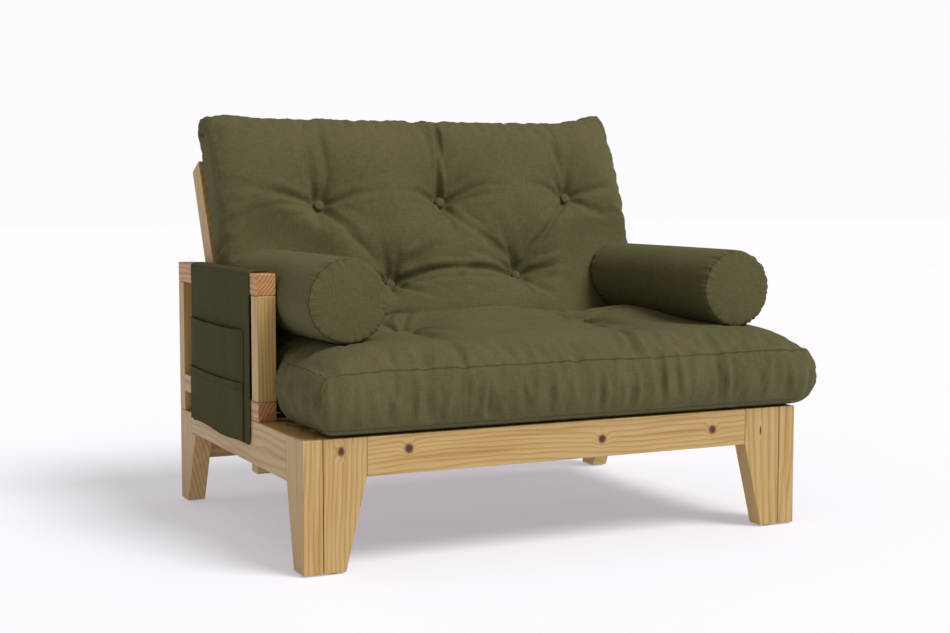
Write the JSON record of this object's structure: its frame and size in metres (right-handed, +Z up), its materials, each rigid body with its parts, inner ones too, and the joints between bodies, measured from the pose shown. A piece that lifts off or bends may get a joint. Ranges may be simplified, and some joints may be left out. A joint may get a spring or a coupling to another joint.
{
  "type": "futon sofa bed",
  "caption": "Compact pine futon sofa bed with a tufted olive mattress, two bolsters, one arm with a cloth organiser, a pull-out seat section and a backrest that reclines flat.",
  "frame": {"origin": "middle of the object's footprint, on the floor", "axes": "+X to the right of someone facing the sofa's front, +Y from the front to the back, +Z up"},
  "size_m": [1.3538, 1.0185, 1.0161],
  "materials": {
    "pine": "clear satin lacquer over pale knotty pine",
    "heart_pine": "clear satin lacquer over redder heartwood, end grain showing",
    "zinc_steel": "zinc plated",
    "glide_nylon": "moulded nylon",
    "olive_cloth": "plain-woven olive green cotton"
  },
  "bodies": {
    "base": {"leg_front_left": "pine", "leg_front_right": "pine", "leg_rear_left": "pine", "leg_rear_right": "pine", "side_rail_left": "pine", "side_rail_right": "pine", "rear_rail": "pine", "cross_rail": "pine", "runner_left": "pine", "runner_right": "pine", "glide_front_left": "glide_nylon", "glide_front_right": "glide_nylon", "glide_rear_left": "glide_nylon", "glide_rear_right": "glide_nylon", "arm_post_front": "pine", "arm_post_rear": "pine", "arm_rail_top": "heart_pine", "arm_rail_low": "heart_pine", "arm_bolt_front": "zinc_steel", "arm_bolt_rear": "zinc_steel", "organiser_sling": "olive_cloth", "pocket_upper": "olive_cloth", "pocket_lower": "olive_cloth"},
    "seat_section": {"front_rail": "pine", "leg_pull_left": "pine", "leg_pull_right": "pine", "glide_pull_left": "glide_nylon", "glide_pull_right": "glide_nylon", "bearer_left": "pine", "bearer_right": "pine", "bearer_centre": "pine", "rear_tie": "pine", "seat_slat_1": "pine", "seat_slat_2": "pine", "seat_slat_3": "pine", "seat_slat_4": "pine", "seat_slat_5": "pine", "seat_slat_6": "pine", "hinge_plate_seat_left": "zinc_steel", "hinge_plate_seat_right": "zinc_steel", "hinge_pin_left": "zinc_steel", "hinge_pin_right": "zinc_steel", "seat_mattress": "olive_cloth"},
    "backrest": {"stile_left": "pine", "stile_right": "pine", "back_rail_low": "pine", "back_rail_top": "pine", "back_slat_1": "pine", "back_slat_2": "pine", "back_slat_3": "pine", "back_slat_4": "pine", "back_slat_5": "pine", "back_slat_6": "pine", "hinge_plate_back_left": "zinc_steel", "hinge_plate_back_right": "zinc_steel", "back_mattress": "olive_cloth"},
    "bolster_left": {"bolster_left": "olive_cloth"},
    "bolster_right": {"bolster_right": "olive_cloth"}
  },
  "joints": [
    {"name": "pull_out", "type": "slide", "parent": "base", "child": "seat_section", "axis": [0, -1, 0], "range_m": [0, 0.42]},
    {"name": "back_recline", "type": "hinge", "parent": "seat_section", "child": "backrest", "pos_m": [-0.01305, 0.19053, 0.258], "axis": [-1, 0, 0], "range_deg": [0, 65]},
    {"name": "bolster_left_lift", "type": "slide", "parent": "seat_section", "child": "bolster_left", "axis": [0, 0, 1], "range_m": [0, 0.6]},
    {"name": "bolster_right_lift", "type": "slide", "parent": "seat_section", "child": "bolster_right", "axis": [0, 0, 1], "range_m": [0, 0.6]}
  ]
}
